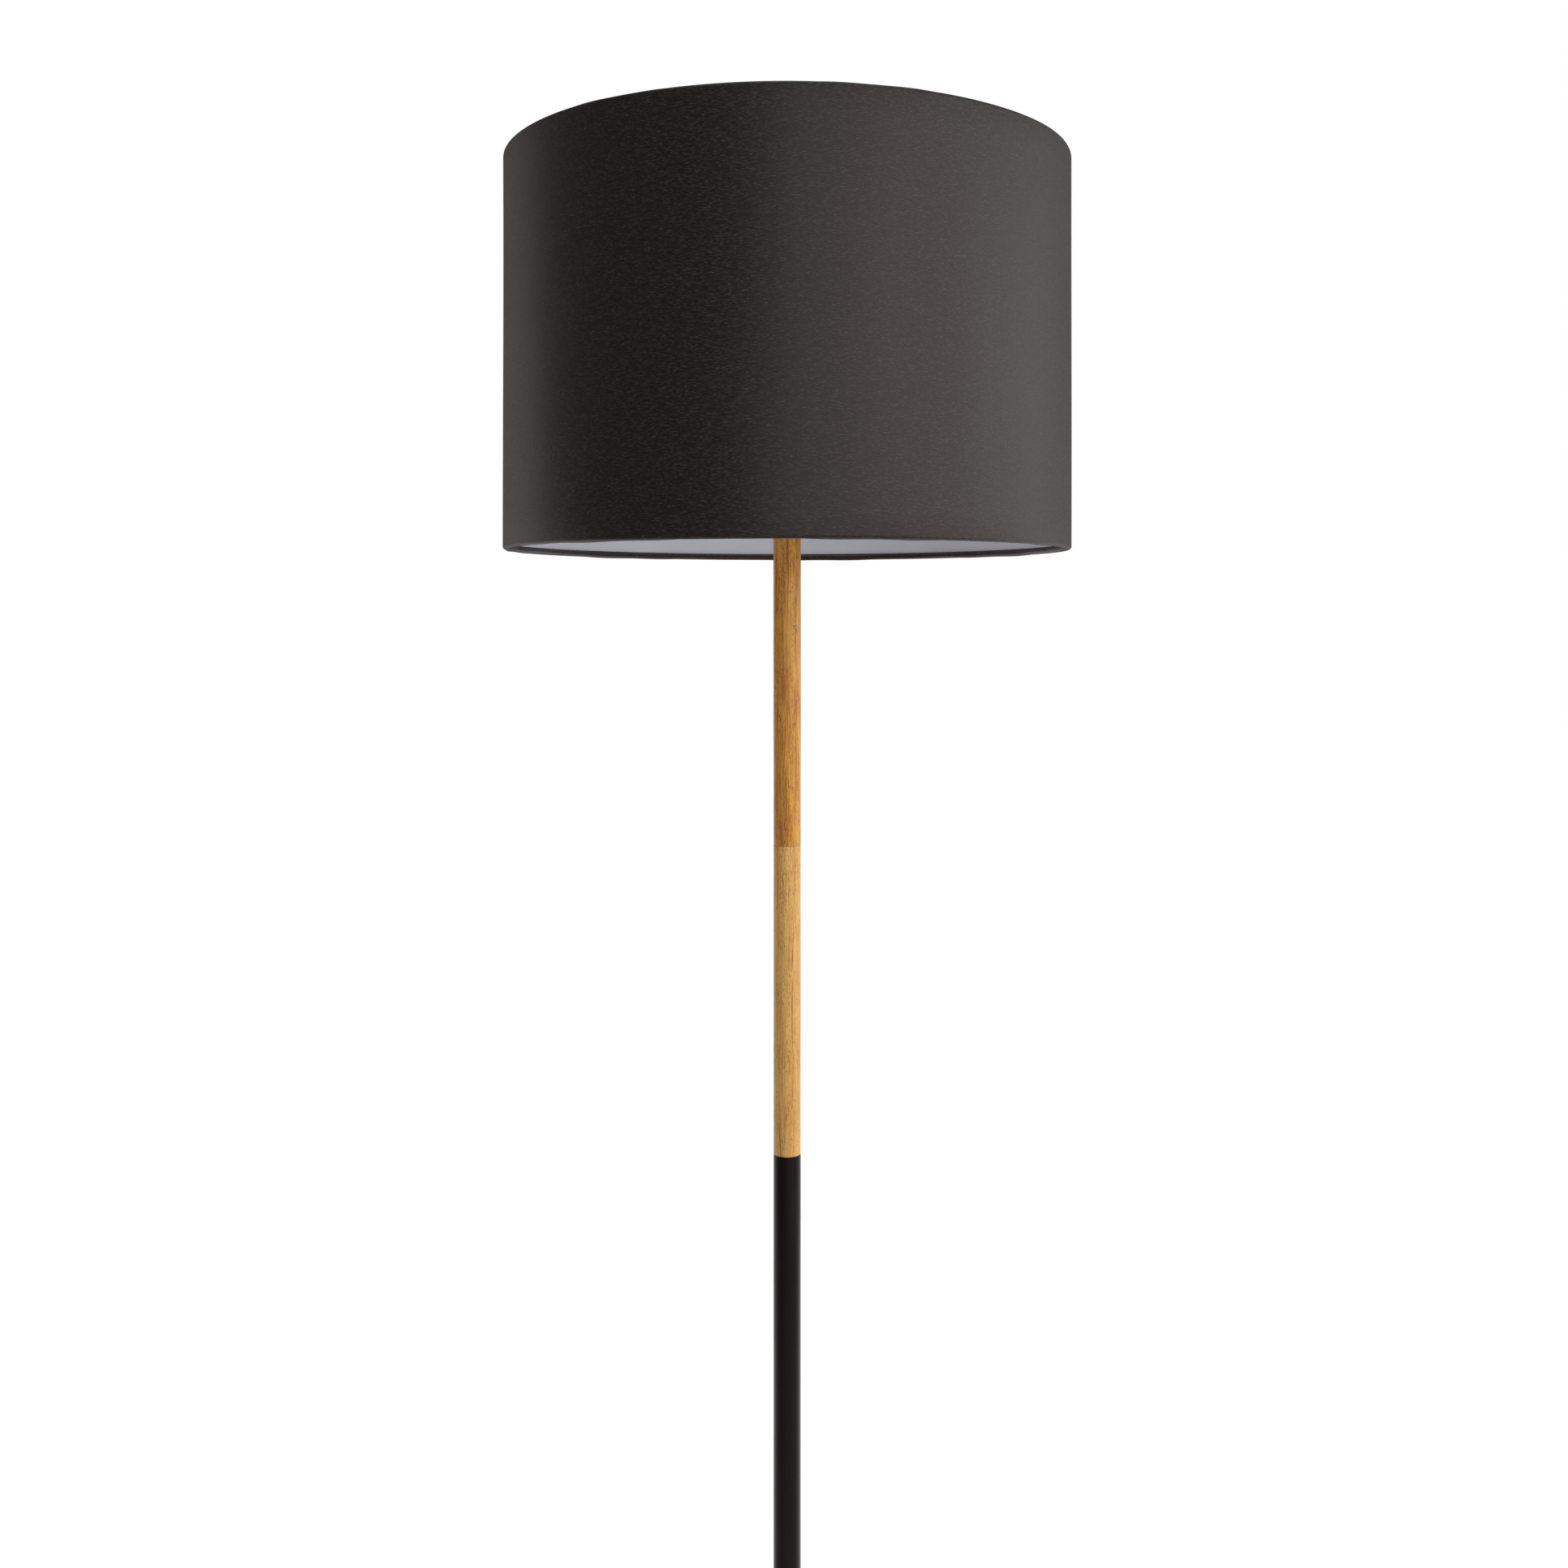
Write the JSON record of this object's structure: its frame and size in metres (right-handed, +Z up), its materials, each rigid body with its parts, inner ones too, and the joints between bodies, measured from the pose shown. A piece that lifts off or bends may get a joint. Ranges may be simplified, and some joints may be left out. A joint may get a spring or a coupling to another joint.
{
  "type": "tripod floor lamp",
  "caption": "Floor lamp with a straight wood and black metal pole on splayed legs, carrying a black fabric drum shade on a harp.",
  "frame": {"origin": "on the floor, under the pole's axis, at the centre of the shade's plan", "axes": "+Z up along the pole; -Y is the front, where the lampholder's switch points; +X to the right"},
  "size_m": [0.45, 0.45, 1.548],
  "materials": {
    "shade_fabric": "fine woven sateen, near-black",
    "shade_liner": "matte white lining sheet",
    "wood_amber": "clear satin lacquer, golden brown",
    "wood_honey": "clear satin lacquer, pale honey",
    "black_metal": "satin black powder coat",
    "hub_iron": "satin black powder coat",
    "steel": "zinc-plated steel",
    "nickel": "satin nickel plate",
    "brass": "plain turned brass",
    "rubber": "black rubber",
    "black_plastic": "black phenolic moulding",
    "card": "brown insulating card sleeve",
    "aluminium": "drawn aluminium screw shell",
    "bulb_white": "white moulded housing",
    "bulb_opal": "frosted opal globe"
  },
  "bodies": {
    "stand": {"hub": "hub_iron", "leg_1": "wood_honey", "leg_2": "wood_honey", "leg_3": "wood_honey", "foot_pad_1": "rubber", "foot_pad_2": "rubber", "foot_pad_3": "rubber", "leg_bolts": "steel", "foot_pad_screws": "steel", "hub_washer": "steel", "hub_nut": "steel", "hub_threaded_pipe": "steel", "cable_bush": "black_plastic", "pole_black_tube": "black_metal", "tube_plug_bottom": "steel", "tube_plug_top": "steel", "lower_joint_pipe": "steel", "upper_joint_pipe": "steel", "top_threaded_pipe": "steel", "pole_wood_lower": "wood_honey", "pole_wood_upper": "wood_amber", "pole_wood_lower_inserts": "brass", "pole_wood_upper_inserts": "brass", "pole_top_washer": "black_metal", "harp_saddle": "nickel", "harp": "nickel", "harp_stud": "nickel", "lampholder_cap": "black_metal", "lampholder_shell": "black_metal", "lampholder_body": "black_plastic", "lampholder_liner": "card", "screw_shell": "aluminium", "centre_contact": "brass"},
    "switch": {"switch_stem": "brass", "switch_knob": "black_plastic"},
    "bulb": {"bulb_cap": "aluminium", "bulb_contact": "black_plastic", "bulb_housing": "bulb_white", "bulb_globe": "bulb_opal"},
    "sleeve_left": {"harp_sleeve_left": "nickel"},
    "sleeve_right": {"harp_sleeve_right": "nickel"},
    "shade": {"shade_fabric": "shade_fabric", "shade_liner": "shade_liner", "shade_top_ring": "steel", "shade_bottom_ring": "steel", "shade_spider": "nickel"},
    "finial": {"finial": "black_metal"}
  },
  "joints": [
    {"name": "switch_turn", "type": "hinge", "parent": "stand", "child": "switch", "pos_m": [0, -0.02, 1.2801], "axis": [0, -1, 0], "continuous": true},
    {"name": "bulb_turn", "type": "hinge", "parent": "stand", "child": "bulb", "pos_m": [0, 0, 1.3176], "axis": [0, 0, 1], "continuous": true},
    {"name": "sleeve_left_lift", "type": "slide", "parent": "stand", "child": "sleeve_left", "axis": [0, 0, 1], "range_m": [0, 0.01]},
    {"name": "sleeve_right_lift", "type": "slide", "parent": "stand", "child": "sleeve_right", "axis": [0, 0, 1], "range_m": [0, 0.01]},
    {"name": "shade_swivel", "type": "hinge", "parent": "stand", "child": "shade", "pos_m": [0, 0, 1.5261], "axis": [0, 0, 1], "continuous": true},
    {"name": "finial_turn", "type": "hinge", "parent": "stand", "child": "finial", "pos_m": [0, 0, 1.53], "axis": [0, 0, 1], "continuous": true}
  ]
}
